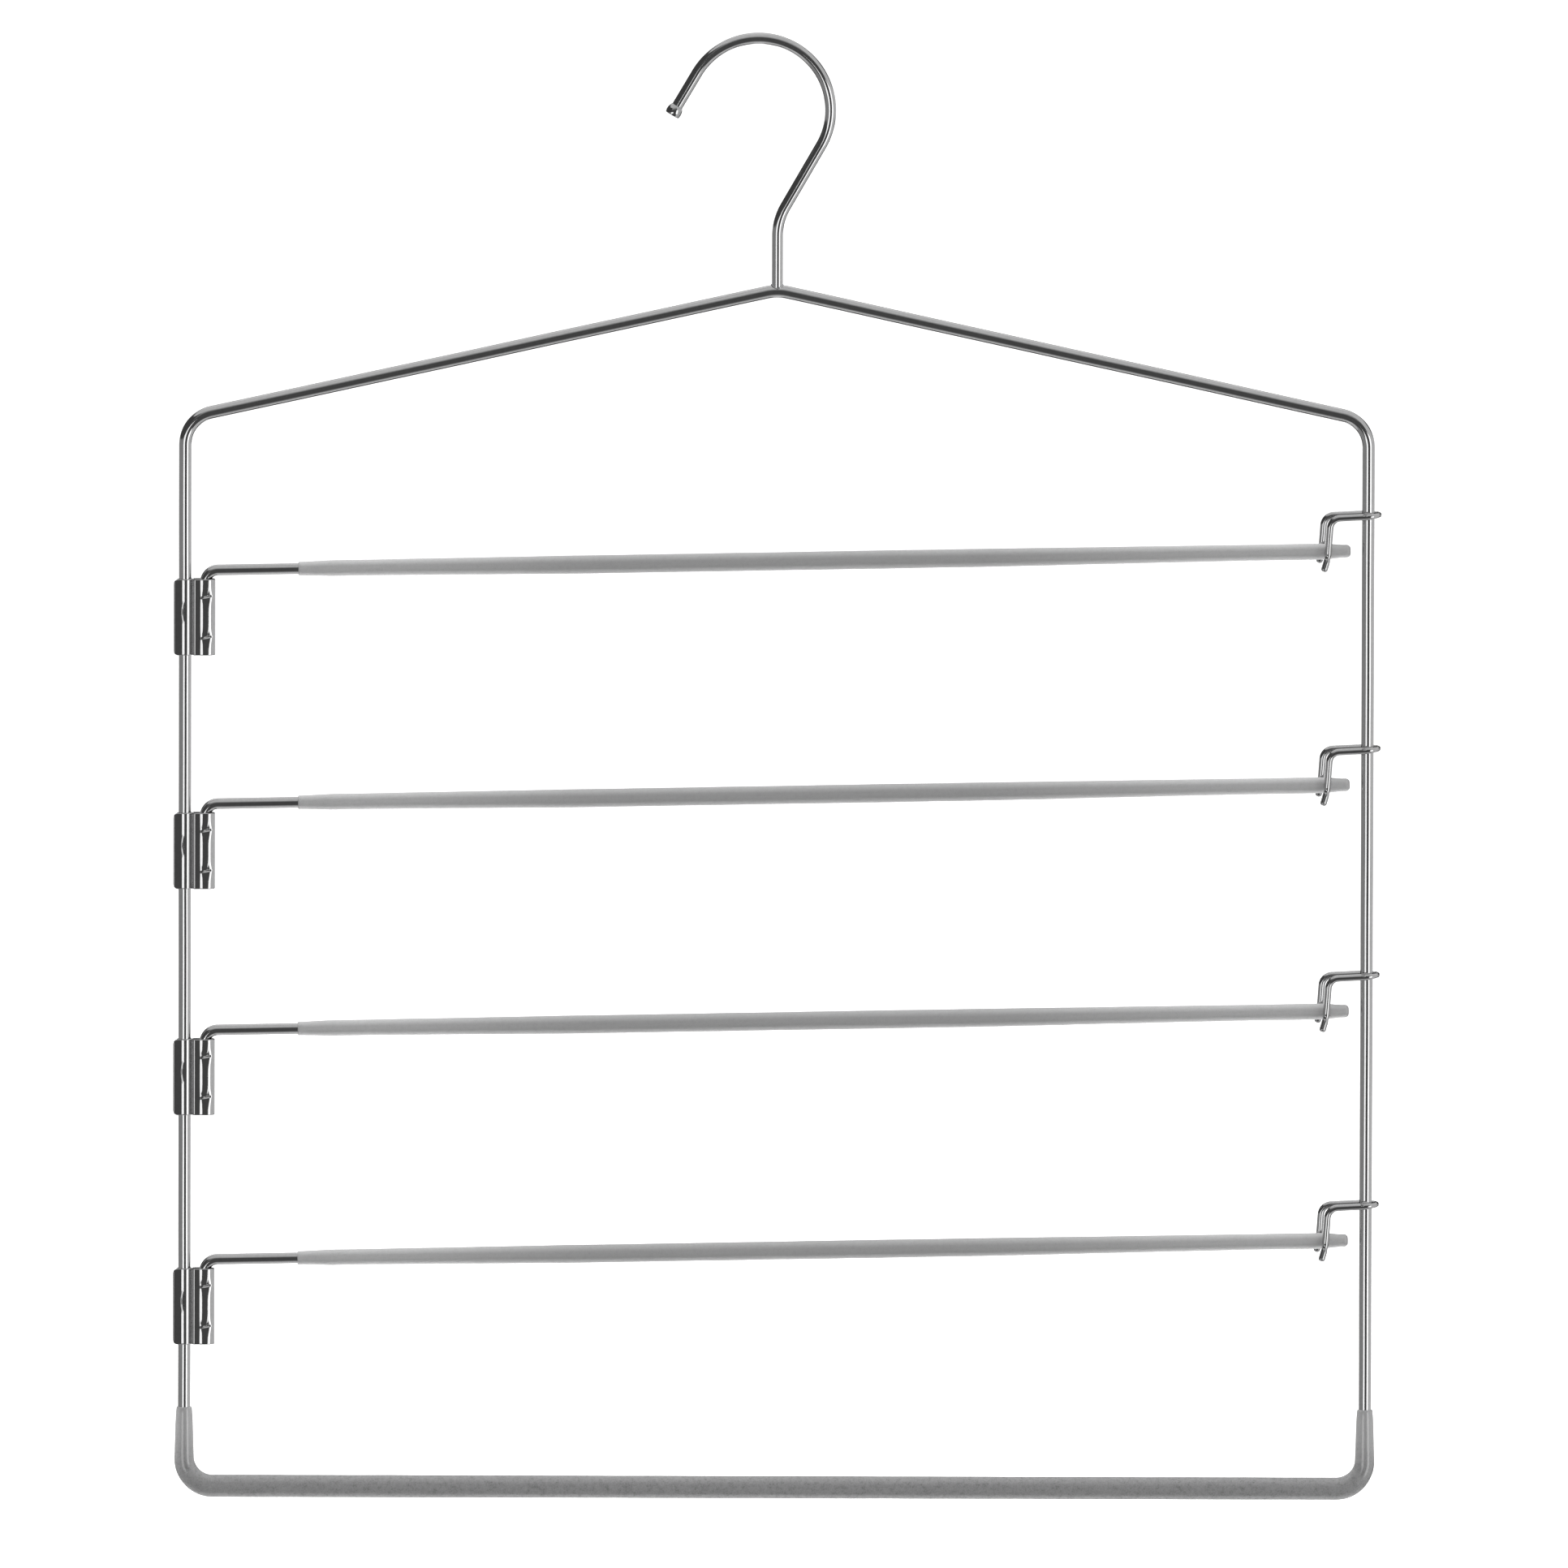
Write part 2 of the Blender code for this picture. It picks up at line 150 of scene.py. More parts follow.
# A circle carried along a path: P(s, a) = path(s) + r(s, a) (e1 cos a + e2 sin a), with e1 and e2 square
# to the path
def tube(path, radius, sides, reference=(0, 1, 0), closed=False):
    ahead = np.roll(path, -1, 0) - np.roll(path, 1, 0) if closed else np.gradient(path, axis=0)
    tangent = unit(ahead)
    e1 = unit(np.cross(np.array(reference, float), tangent))
    e2 = np.cross(tangent, e1)
    turn = np.linspace(0, 2 * np.pi, sides, endpoint=False)[None, :, None]
    ring = e1[:, None] * np.cos(turn) + e2[:, None] * np.sin(turn)
    size = np.asarray(radius, float)
    size = size[..., None] if size.ndim == 2 else size.reshape(-1, 1, 1)
    return path[:, None] + size * ring


# A tube with closed ends: a quarter round from the wall to a flat face, then in to the middle
def cappedTube(path, radius, sides, rounding, reference=(0, 1, 0)):
    starts = unit(path[0] - path[1]), unit(path[-1] - path[-2])
    along = runLength(path)
    kept = np.minimum(along, along[-1] - along) > 1.2 * rounding  # no points where the ends are rounded
    kept[[0, -1]] = True
    size = np.broadcast_to(radius, len(path)).astype(float)[kept]
    path = path[kept]
    path[0] -= starts[0] * rounding
    path[-1] -= starts[1] * rounding
    grid = tube(path, size, sides, reference)
    turn = np.linspace(0, np.pi / 2, 8)[:-1]
    ends = []
    for row, direction in zip((0, -1), starts):
        face = 1 - rounding / size[row]
        share = np.concatenate([[0, face * 0.6], face + (1 - face) * np.sin(turn)])[:, None, None]
        slide = np.concatenate([[1, 1], np.cos(turn)])[:, None, None] * rounding
        ends.append(path[row] + (grid[row] - path[row]) * share + direction * slide)
    return np.concatenate([ends[0], grid, ends[1][::-1]])


# A mesh from a grid of points; its UV map holds metres along the rows and round the columns
def surface(name, grid, material, wrapAlong=False, depth=None):
    rows, columns = grid.shape[:2]
    i, j = np.meshgrid(np.arange(rows if wrapAlong else rows - 1), np.arange(columns), indexing="ij")
    i, j = i.ravel(), j.ravel()
    iNext, jNext = (i + 1) % rows, (j + 1) % columns
    corners = [i * columns + j, i * columns + jNext, iNext * columns + jNext, iNext * columns + j]
    mesh = bpy.data.meshes.new(name)
    mesh.from_pydata(grid.reshape(-1, 3).tolist(), [], np.stack(corners, axis=1).tolist())
    middle = np.append(grid.mean(axis=1), grid[:1].mean(axis=1), axis=0)
    along = runLength(middle)
    loop = np.append(grid[rows // 2], grid[rows // 2, :1], axis=0)
    around = runLength(loop)
    places = [(along[i + up], around[j + side]) for up, side in ((0, 0), (0, 1), (1, 1), (1, 0))]
    layer = mesh.uv_layers.new(name="metres")
    layer.data.foreach_set("uv", np.array(places).transpose(2, 0, 1).ravel())
    if depth is not None:  # how thick the coat is on each row, 0 to 1, for its material
        shade = mesh.attributes.new("coatDepth", "FLOAT", "POINT")
        shade.data.foreach_set("value", np.repeat(depth, columns))
    shell = bmesh.new()
    shell.from_mesh(mesh)
    bmesh.ops.remove_doubles(shell, verts=shell.verts, dist=1e-7)
    shell.to_mesh(mesh)
    shell.free()
    mesh.shade_smooth()
    mesh.materials.append(material)
    piece = bpy.data.objects.new(name, mesh)
    scene.collection.objects.link(piece)
    return piece


def place(piece, body, slotName, *nodes):
    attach(piece, body)
    if nodes:
        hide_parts(*nodes)


# Materials

chromeLook = {
    "tone": 0.50,
    "toneSpread": 0.03,
    "roughness": (0.05, 0.09),
    "weldRoughness": (0.30, 0.45),
    "lineLength": 0.020,  # drawing lines left along the wire
    "lineWidth": 0.00022,
    "lineDepth": 0.0000006,
    "mottle": 0.0011,
    "mottleRange": (0.35, 0.65),
    "shades": {  # each kind of piece, as a share of the tone
        "frame": 1.0,
        "hook": 1.0,
        "tip": 0.95,
        "arm": 0.98,
        "clip": 0.96,
        "catch": 0.96,
        "weld": 0.90,
    },
}
coatLook = {
    "armTones": (0.395, 0.305),  # where the coat is thin and where it is thick
    "barTones": (0.37, 0.235),
    "armSpecks": (0.11, 0.11),
    "barSpecks": (0.10, 0.42),
    "grain": 0.00042,
    "blotch": 0.0013,
    "blotchShare": 0.45,
    "speckStops": ((0.30, -1.0), (0.46, -0.15), (0.70, 0.45)),  # noise, share of the specks added to the tone
    "cloud": 0.012,
    "armRoughness": (0.62, 0.70),
    "barRoughness": (0.08, 0.75),
    "thickEnough": (0.8, 1.0),  # where the sheen turns from the first roughness to the second
    "roughSpread": 0.06,
    "pitDepth": 0.000010,
    "specular": 0.95,
}


def newMaterial(name):
    material = bpy.data.materials.new(name)
    material.use_nodes = True
    tree = material.node_tree
    return material, tree.nodes, tree.links, tree.nodes["Principled BSDF"]


def noise(nodes, links, vector, scale, detail=2.0):
    texture = nodes.new("ShaderNodeTexNoise")
    texture.inputs["Scale"].default_value = scale
    texture.inputs["Detail"].default_value = detail
    links.new(vector, texture.inputs["Vector"])
    return texture.outputs["Fac"]


def spread(nodes, links, value, low, high, start=0.3, stop=0.7):
    ranged = nodes.new("ShaderNodeMapRange")
    ranged.inputs["From Min"].default_value = start
    ranged.inputs["From Max"].default_value = stop
    ranged.inputs["To Min"].default_value = low
    ranged.inputs["To Max"].default_value = high
    links.new(value, ranged.inputs["Value"])
    return ranged.outputs["Result"]


def greyRamp(nodes, links, value, stops, blueness=1.005):
    ramp = nodes.new("ShaderNodeValToRGB")
    while len(ramp.color_ramp.elements) < len(stops):
        ramp.color_ramp.elements.new(0.5)
    for element, (position, tone) in zip(ramp.color_ramp.elements, stops):
        element.position = position
        element.color = (tone, tone, tone * blueness, 1)
    links.new(value, ramp.inputs["Fac"])
    return ramp.outputs["Color"]


# Chrome plate: a mirror with faint drawing lines along the wire and a mottled sheen
def chromeMaterial(part):
    material, nodes, links, shader = newMaterial(f"{part}Chrome")
    look = chromeLook
    coords = nodes.new("ShaderNodeTexCoord")
    stretch = nodes.new("ShaderNodeMapping")
    stretch.inputs["Scale"].default_value = (1 / look["lineLength"], 1 / look["lineWidth"], 1)
    links.new(coords.outputs["UV"], stretch.inputs["Vector"])
    lines = noise(nodes, links, stretch.outputs["Vector"], 1.0, 1.0)
    mottle = noise(nodes, links, coords.outputs["Object"], 1 / look["mottle"], 3.0)
    tone = look["tone"] * look["shades"][part]
    low, high = look["mottleRange"]
    stops = [(low, tone * (1 - look["toneSpread"])), (high, tone * (1 + look["toneSpread"]))]
    links.new(greyRamp(nodes, links, mottle, stops), shader.inputs["Base Color"])
    roughness = look["weldRoughness" if part == "weld" else "roughness"]
    links.new(spread(nodes, links, mottle, *roughness), shader.inputs["Roughness"])
    bump = nodes.new("ShaderNodeBump")
    bump.inputs["Distance"].default_value = look["lineDepth"]
    links.new(lines, bump.inputs["Height"])
    links.new(bump.outputs["Normal"], shader.inputs["Normal"])
    shader.inputs["Metallic"].default_value = 1.0
    return material


# Soft grey dip coat: fine specks, shallow pits and a cloudy sheen, with another tone where it is thick
def coatMaterial(part):
    material, nodes, links, shader = newMaterial(f"{part}Coat")
    look = coatLook
    coords = nodes.new("ShaderNodeTexCoord").outputs["Object"]
    grain = noise(nodes, links, coords, 1 / look["grain"], 3.0)
    cloud = noise(nodes, links, coords, 1 / look["cloud"], 2.0)
    blotch = noise(nodes, links, coords, 1 / look["blotch"], 2.0)
    blend = nodes.new("ShaderNodeMix")
    blend.inputs["Factor"].default_value = look["blotchShare"]
    links.new(grain, blend.inputs["A"])
    links.new(blotch, blend.inputs["B"])
    colour = nodes.new("ShaderNodeMix")
    colour.data_type = "RGBA"
    thickness = nodes.new("ShaderNodeAttribute")
    thickness.attribute_name = "coatDepth"
    links.new(thickness.outputs["Fac"], colour.inputs["Factor"])
    colourSockets = colour.inputs[6], colour.inputs[7]
    for tone, speck, socket in zip(look[f"{part}Tones"], look[f"{part}Specks"], colourSockets):
        stops = [(position, tone * (1 + speck * change)) for position, change in look["speckStops"]]
        links.new(greyRamp(nodes, links, blend.outputs["Result"], stops), socket)
    links.new(colour.outputs[2], shader.inputs["Base Color"])
    sheen = nodes.new("ShaderNodeMath")
    sheen.operation = "ADD"
    ends = *look[f"{part}Roughness"], *look["thickEnough"]
    links.new(spread(nodes, links, thickness.outputs["Fac"], *ends), sheen.inputs[0])
    links.new(spread(nodes, links, cloud, -look["roughSpread"], look["roughSpread"]), sheen.inputs[1])
    links.new(sheen.outputs["Value"], shader.inputs["Roughness"])
    bump = nodes.new("ShaderNodeBump")
    bump.inputs["Distance"].default_value = look["pitDepth"]
    links.new(grain, bump.inputs["Height"])
    links.new(bump.outputs["Normal"], shader.inputs["Normal"])
    shader.inputs["Specular IOR Level"].default_value = look["specular"]
    return material


chrome = {part: chromeMaterial(part) for part in chromeLook["shades"]}
armCoat, barCoat = (coatMaterial(part) for part in ("arm", "bar"))
print("materials:", len(bpy.data.materials))


# Frame: one closed loop of wire

def framePath():
    corners = [
        (postLeftX, 0, shoulderZ),
        (stemX, 0, apexZ),
        (postRightX, 0, shoulderZ),
        (postRightX, 0, bottomZ),
        (postLeftX, 0, bottomZ),
    ]
    bendNames = ("shoulderBend", "apexBend", "shoulderBend", "bottomBend", "bottomBend")
    bends = [frameWire[name] for name in bendNames]
    path = bentPath(corners, bends, closed=True)
    return path + stray(len(path), frameWire)


framePiece = surface(
    "frameWire",
    tube(framePath(), frameWire["radius"], frameWire["sides"], closed=True),
    chrome["frame"],
    wrapAlong=True,
)
place(framePiece, "frame", "frame_chrome", "frame_wire")
print("frame wire done")


# Hook: leg, arc, slanting run and stem, with a mushroom tip and a weld at the foot

hookWire = {
    "radius": 0.00177,
    "innerRadius": 0.0208,
    "mouthTurn": math.radians(59.4),  # arc from the top to the open leg
    "backTurn": math.radians(120.0),  # arc from the top to the slanting run
    "legLength": 0.0135,
    "stemBend": 0.0180,
    "endRounding": 0.0004,
    "legRows": 8,
    "arcRows": 90,
    "step": 0.002,
    "sides": 32,
}
hookTip = {
    "radius": 0.0025,
    "dome": 0.0031,
    "flat": 0.0011,
    "flatShare": 0.8,  # how far the dome's curve runs towards the flat face
    "rows": 26,
    "edge": 0.00022,
    "boreDepth": 0.0016,
    "gap": 0.00002,
    "sides": 40,
}
hookWeld = {"radius": 0.00026, "lump": 0.00007, "waves": (3, 5, 9), "seed": 7, "sides": 14, "steps": 72}


def hookPath():
    arcRadius = hookWire["innerRadius"] + hookWire["radius"]
    mouth, back = hookWire["mouthTurn"], hookWire["backTurn"]
    turn = np.linspace(mouth, -back, hookWire["arcRows"])[:, None]
    arc = np.concatenate([-np.sin(turn), 0 * turn, np.cos(turn)], axis=1) * arcRadius
    arc[:, 2] -= hookWire["innerRadius"]
    leg = np.array([-math.cos(mouth), 0, -math.sin(mouth)])
    fall = np.array([math.cos(back), 0, -math.sin(back)])
    stemTop = arc[-1] + fall * (stemX - arc[-1, 0]) / fall[0]
    foot = np.array([stemX, 0, apexZ - apexCut])
    tail = bentPath([arc[-1], stemTop, foot], [hookWire["stemBend"]], hookWire["step"])
    legRun = arc[0] + leg * hookWire["legLength"] * np.linspace(1, 0, hookWire["legRows"])[:, None]
    return np.concatenate([legRun[:-1], arc, tail[1:]]), leg


hookLine, legDirection = hookPath()
hookGrid = cappedTube(hookLine, hookWire["radius"], hookWire["sides"], hookWire["endRounding"])
hookPiece = surface("hookWire", hookGrid, chrome["hook"])
place(hookPiece, "frame", "hook_chrome", "hook")


# Turned shape: a profile of (radius, height) swept round an axis that starts at origin
def turned(profile, origin, axis, sides):
    axis = unit(np.array(axis, float))
    e1 = unit(np.cross(axis, (0.3, 1.0, 0.2)))
    e2 = np.cross(axis, e1)
    turn = np.linspace(0, 2 * np.pi, sides, endpoint=False)[None, :, None]
    ring = e1 * np.cos(turn) + e2 * np.sin(turn)
    profile = np.asarray(profile, float)
    return origin + axis * profile[:, 1, None, None] + ring * profile[:, 0, None, None]


# Mushroom tip: an ellipse from the wire's wall to just past its widest, then a flat face with a small edge
def tipProfile():
    bore = hookWire["radius"] + hookTip["gap"]
    widest, dome, flat, edge = hookTip["radius"], hookTip["dome"], hookTip["flat"], hookTip["edge"]
    first = -math.asin(bore / widest)
    turn = np.linspace(first, math.asin(flat / dome) * hookTip["flatShare"], hookTip["rows"])
    shell = np.stack([widest * np.cos(turn), dome * np.sin(turn)], axis=1)
    rim = shell[-1]
    bend = np.linspace(0, np.pi / 2, 8)[1:, None]
    corner = rim + edge * np.concatenate([np.cos(bend) - 1, np.sin(bend)], axis=1)
    face = corner[-1] * [[0.6, 1], [0.3, 1], [0, 1]]
    inner = [[0, shell[0, 1] + hookTip["boreDepth"]], [bore, shell[0, 1] + hookTip["boreDepth"]]]
    return np.concatenate([inner, shell, corner, face])


tipOrigin = hookLine[0] - legDirection * (tipProfile()[0, 1])
tipPiece = surface("hookTip", turned(tipProfile(), tipOrigin, legDirection, hookTip["sides"]), chrome["tip"])
place(tipPiece, "frame", "tip_chrome", "hook_ball_tip")


# Weld bead: a small lumpy circle carried round the line where the stem meets the frame wire
def weldPath():
    turn = np.linspace(0, 2 * np.pi, hookWeld["steps"], endpoint=False)
    radius = hookWire["radius"]
    depth = radius * np.sin(turn)
    top = apexZ - apexCut + np.sqrt(frameWire["radius"] ** 2 - depth**2)
    return np.stack([stemX + radius * np.cos(turn), depth, top], axis=1)


beadLump = unevenness(hookWeld["steps"], hookWeld["waves"], hookWeld["seed"])
beadSize = hookWeld["radius"] + hookWeld["lump"] * beadLump
weldPiece = surface(
    "hookWeld",
    tube(weldPath(), beadSize, hookWeld["sides"], reference=(0, 0, 1), closed=True),
    chrome["hook"],
    wrapAlong=True,
)
place(weldPiece, "frame", "hook_chrome")
print("hook done")


# Bottom coat: lip + swell (1 - e^(-fall/run)) + rest (share of the fall)^2 thick, with a bore for the wire

bottomCoat = {
    "coat": 0.00155,
    "lip": 0.00042,
    "swell": 0.00042,  # gained soon below the rim
    "swellRun": 0.0030,
    "climb": 0.0251,  # how far it climbs each post
    "rim": 0.00035,
    "rimShare": 0.3,  # how much of the lip's thickness is left at the very edge
    "gap": 0.00002,
    "uneven": 0.00003,
    "waves": (4, 11, 23),
    "seed": 11,
    "unevenFall": (0.0, 0.5),  # shares of the climb over which it sets in
    "thickFall": (0.2, 1.0),  # and over which its look turns to that of the thick coat
    "step": 0.0012,
    "sides": 40,
}


def bottomCoatGrid():
    size = bottomCoat
    topZ = bottomZ + size["climb"]
    corners = [
        (postLeftX, 0, topZ),
        (postLeftX, 0, bottomZ),
        (postRightX, 0, bottomZ),
        (postRightX, 0, topZ),
    ]
    path = bentPath(corners, [frameWire["bottomBend"]] * 2, straightStep=size["step"])
    hem = size["rim"] * (1 - np.cos(np.linspace(0, np.pi / 2, 7)))[:, None] * np.array([0, 0, -1])
    path = np.concatenate([path[0] + hem, path[1:-1], path[-1] + hem[::-1]])
    fallen = (topZ - path[:, 2]) / size["climb"]
    swell = size["swell"] * (1 - np.exp(-fallen * size["climb"] / size["swellRun"]))
    coat = size["lip"] + swell + (size["coat"] - size["lip"] - size["swell"]) * fallen**2
    lumps = unevenness(len(path), size["waves"], size["seed"]) * easeIn(fallen, *size["unevenFall"])
    coat += size["uneven"] * lumps
    edge = np.minimum((topZ - path[:, 2]) / size["rim"], 1)
    coat *= size["rimShare"] + (1 - size["rimShare"]) * np.sqrt(1 - (1 - edge) ** 2)
    outer = tube(path, frameWire["radius"] + coat, size["sides"])
    bore = tube(path, frameWire["radius"] + size["gap"], size["sides"])
    depth = easeIn(fallen, *size["thickFall"])
    return np.concatenate([outer, bore[::-1]]), np.concatenate([depth, depth[::-1]])


coatGrid, coatShare = bottomCoatGrid()
coatPiece = surface("bottomCoat", coatGrid, barCoat, wrapAlong=True, depth=coatShare)
place(coatPiece, "frame", "bar_coat_grey", "bottom_sleeve")
print("bottom coat done")


# Swing arms: pin with two grooves, tight bend and long bar; the coat is closed over the free end

armWire = {
    "radius": 0.0017,
    "bend": 0.0041,
    "rise": math.radians(1.11),
    "endGap": 0.0055,  # coated end to the right post's axis
    "lift": 0.0027,  # bar axis above the top of the clip
    "pinInset": 0.0010,
    "grooveDepth": 0.0005,
    "grooveHalf": 0.0020,
    "grooveSlope": 0.0002,
    "endRounding": 0.0003,
    "waver": 0.00003,
    "waverRise": (0.004, 0.030),
    "waves": (5, 12, 19),
    "seeds": (21, 22, 23),
    "step": 0.0005,
    "sides": 28,
}
armSleeve = {
    "coat": 0.00080,
    "lip": 0.00045,
    "lipRun": 0.0120,
    "end": 0.00030,
    "endRun": 0.0090,
    "belly": 0.00037,  # the dip is thickest at mid length
    "bellyRise": (0.045, 0.130),
    "bellyFall": (0.235, 0.336),
    "sag": 0.00020,
    "start": 0.0293,  # from the pin's axis
    "cap": 0.0016,
    "capRounding": 0.0013,
    "rim": 0.00025,
    "rimRun": 0.0003,
    "gap": 0.00002,
    "uneven": 0.000035,
    "unevenRise": (0.03, 0.05),
    "waves": (3, 7, 13),
    "seed": 31,
    "rows": 260,
    "sides": 36,
}
hingeClip = {
    "sheet": 0.0005,
    "height": 0.0240,
    "flangeEnd": 0.0036,  # from the post's axis
    "flangeDepth": 0.0024,  # how far in front of the post's axis the flange ends
    "flangeCorner": 0.0015,
    "tilt": math.radians(5),  # the flat faces look slightly to the right
    "pinOffset": pinX - postLeftX,
    "postGap": 0.00005,
    "wrapTurns": (math.radians(-18), math.radians(62)),  # where the bulge over the post starts and ends
    "rearTurns": (math.radians(28), math.radians(204)),
    "grooveRun": 0.00077,
    "grooveSide": (math.radians(-75), 0.0023),  # heading and length of the groove's right side
    "webWidth": 0.0019,
    "frontTurns": (math.radians(-16), math.radians(-4), math.radians(16)),  # the tube's front bends twice
    "frontRadii": (0.0026, 0.0050),
    "sideRadius": 0.00245,
    "frontFolds": (0.00045, 0.0003, 0.00035, 0.00055),  # radii at the flange, groove and both ends of the web
    "rearFolds": (0.0025, 0.0012, 0.0003, 0.0005),  # at the tube's rear, rear web, rear groove and flange
    "foldRun": (0.00016, 0.00002),  # flat left after the web's fold and between the front's two arcs
    "tubeRight": 0.0030,
    "tubeRear": 0.00283,
    "crimpInset": 0.0056,
    "crimpDepth": 0.00028,
    "crimpSpread": (0.0024, 0.0012, 0.0020),  # to the left, to the right and upwards
    "crimpSlant": 0.18,
    "crimpShift": 0.0009,
    "notchDepth": 0.00034,
    "notchHalf": 0.00040,
    "notchRise": (-0.0019, 0.0007),  # where it deepens and where it runs out
    "notchFall": (0.0012, 0.0024),
    "notchBottom": 0.15,  # how round its bottom is
    "pressDepth": (0.0012, 0.0022),  # in front of the pin's axis, where the pressing sets in
    "pressLeft": (-0.0027, -0.0018),
    "rows": 104,
    "crimpRows": (2.5, 0.0013),  # how much closer the rows lie at the crimps, and how far from them
    "blisterSlope": 0.24,  # raised mark beside the post, falling off to the right
    "blisterEdges": (-0.00070, -0.00110, -0.00020),  # left end, left middle and right, from the post's axis
    "blisterStep": 0.00030,
    "blisterTaper": 0.7,
    "blisterPlace": 0.0017,  # above the clip's mid height
    "blisterHalf": 0.0034,
    "blisterColumns": 0.00007,
    "blisterMargin": 0.0002,
    "step": 0.00018,
    "arcStep": 0.12,
}
armDirection = np.array([math.cos(armWire["rise"]), 0, math.sin(armWire["rise"])])
armLength = (postRightX - armWire["endGap"] - pinX) / math.cos(armWire["rise"])
clipTop = -armWire["lift"]
clipBottom = clipTop - hingeClip["height"]
crimpHeights = (clipBottom + hingeClip["crimpInset"], clipTop - hingeClip["crimpInset"])


def armGrid(height):
    pinEnd = np.array([0, 0, clipBottom + armWire["pinInset"]])
    barEnd = armDirection * (armLength - armSleeve["cap"])
    path = bentPath([pinEnd, (0, 0, 0), barEnd], [armWire["bend"]], straightStep=armWire["step"])
    onPin = path[:, 0] < 1e-6
    half = armWire["grooveHalf"]
    groove = sum(
        easeIn(-np.abs(path[:, 2] - crimp), -half - armWire["grooveSlope"], -half) for crimp in crimpHeights
    )
    size = armWire["radius"] - armWire["grooveDepth"] * groove * onPin
    loose = easeIn(path[:, 0], *armWire["waverRise"])[:, None]
    path = path + stray(len(path), armWire) * loose
    return cappedTube(path, size, armWire["sides"], armWire["endRounding"]) + np.array([pinX, 0, height])


# Sleeve: a turned profile from the closed end back to the lip, then the blind bore
def sleeveGrid(height):
    size = armSleeve
    bore = armWire["radius"] + size["gap"]
    blunt, full, lip = (armWire["radius"] + size[name] for name in ("end", "coat", "lip"))
    bend = np.linspace(0, np.pi / 2, 10)
    rounding = size["capRounding"]
    capRadius = blunt - rounding + rounding * np.sin(bend)
    capPlace = armLength - rounding + rounding * np.cos(bend)
    runs = np.linspace(armLength - rounding, size["start"] + size["rimRun"], size["rows"])[1:]
    runRadius = lip + (full - lip) * easeIn(runs, size["start"], size["start"] + size["lipRun"])
    runRadius -= (full - blunt) * easeIn(runs, armLength - size["endRun"], armLength - rounding)
    belly = easeIn(runs, *size["bellyRise"]) * (1 - easeIn(runs, *size["bellyFall"]))
    runRadius += size["belly"] * belly
    lumps = unevenness(len(runs), size["waves"], size["seed"]) * easeIn(runs, *size["unevenRise"])
    runRadius += size["uneven"] * lumps
    rimBend = np.linspace(0, np.pi / 2, 7)[1:]
    rimRadius = runRadius[-1] - size["rim"] * (1 - np.cos(rimBend))
    rimPlace = size["start"] + size["rimRun"] - size["rimRun"] * np.sin(rimBend)
    blind = armLength - size["cap"] + size["gap"]
    radius = np.concatenate([[0, capRadius[0] * 0.5], capRadius, runRadius, rimRadius, [bore, bore, 0]])
    along = np.concatenate([[armLength] * 2, capPlace, runs, rimPlace, [size["start"], blind, blind]])
    profile = np.stack([radius, along], axis=1)[::-1]
    grid = turned(profile, np.array([pinX, 0, height]), armDirection, size["sides"])
    depth = np.concatenate([np.zeros(2 + len(bend)), belly, np.zeros(len(rimBend) + 3)])[::-1]
    grid[..., 2] -= size["sag"] * depth[:, None]
    return grid, depth


# Clip's middle line in plan, as straight lines joined by arcs: front flange, bulge over the post, groove,
# flat web, tube, rear groove and round the post's back to the flange's rear layer
def clipPlan():
    size = hingeClip
    post = np.array([-size["pinOffset"], 0])
    wrap = frameWire["radius"] + size["postGap"] + size["sheet"] / 2

    def heading(turn):
        return np.array([math.cos(turn), math.sin(turn)])

    def besidePost(turn):
        return post + wrap * np.array([math.sin(turn), -math.cos(turn)]), heading(turn)

    def crossing(first, firstHeading, second, secondHeading):
        share = np.linalg.solve(np.stack([firstHeading, -secondHeading], axis=1), second - first)
        return first + firstHeading * share[0]

    mirror = np.array([1, -1])
    tilt = heading(size["tilt"])
    flangeEnd = post - np.array([size["flangeEnd"], size["flangeDepth"]])
    rearEnd = flangeEnd + np.array([0, size["sheet"]])
    left, right = (besidePost(turn) for turn in size["wrapTurns"])
    groove = right[0] + right[1] * size["grooveRun"]
    webStart = groove + heading(size["grooveSide"][0]) * size["grooveSide"][1]
    webEnd = webStart + tilt * size["webWidth"]
    turns = size["frontTurns"]
    tight, flat = (
        radius * math.tan((following - turn) / 2)
        for radius, turn, following in zip(size["frontRadii"], turns, turns[1:])
    )
    frontLeft = webEnd + heading(turns[0]) * (tight + size["foldRun"][0])
    front = frontLeft + heading(turns[1]) * (tight + flat + size["foldRun"][1])
    frontRight = crossing(front, heading(turns[2]), np.array([size["tubeRight"], 0]), heading(math.pi / 2))
    first, last = size["rearTurns"]
    quarter = (last - first) / 4
    rearCorners = [post + wrap / math.cos(quarter) * heading(first + quarter * step) for step in (1, 3)]
    rearBend = crossing(*besidePost(last + math.pi / 2), rearEnd, tilt)
    rearRight = np.array([size["tubeRight"], size["tubeRear"]])
    corners = [flangeEnd, crossing(flangeEnd, tilt, *left), crossing(*left, *right), groove, webStart, webEnd]
    corners += [frontLeft, front, frontRight, rearRight, webStart * mirror, groove * mirror]
    corners += [*rearCorners, rearBend, rearEnd]
    flange, *web = size["frontFolds"]
    *rear, rearFlange = size["rearFolds"]
    bends = [flange, wrap, *web, *size["frontRadii"], size["sideRadius"], *rear, wrap, wrap, rearFlange]
    level = np.append(np.array(corners), np.zeros((len(corners), 1)), axis=1)
    return closerAtBlister(bentPath(level, bends, straightStep=size["step"], arcStep=size["arcStep"])[:, :2])


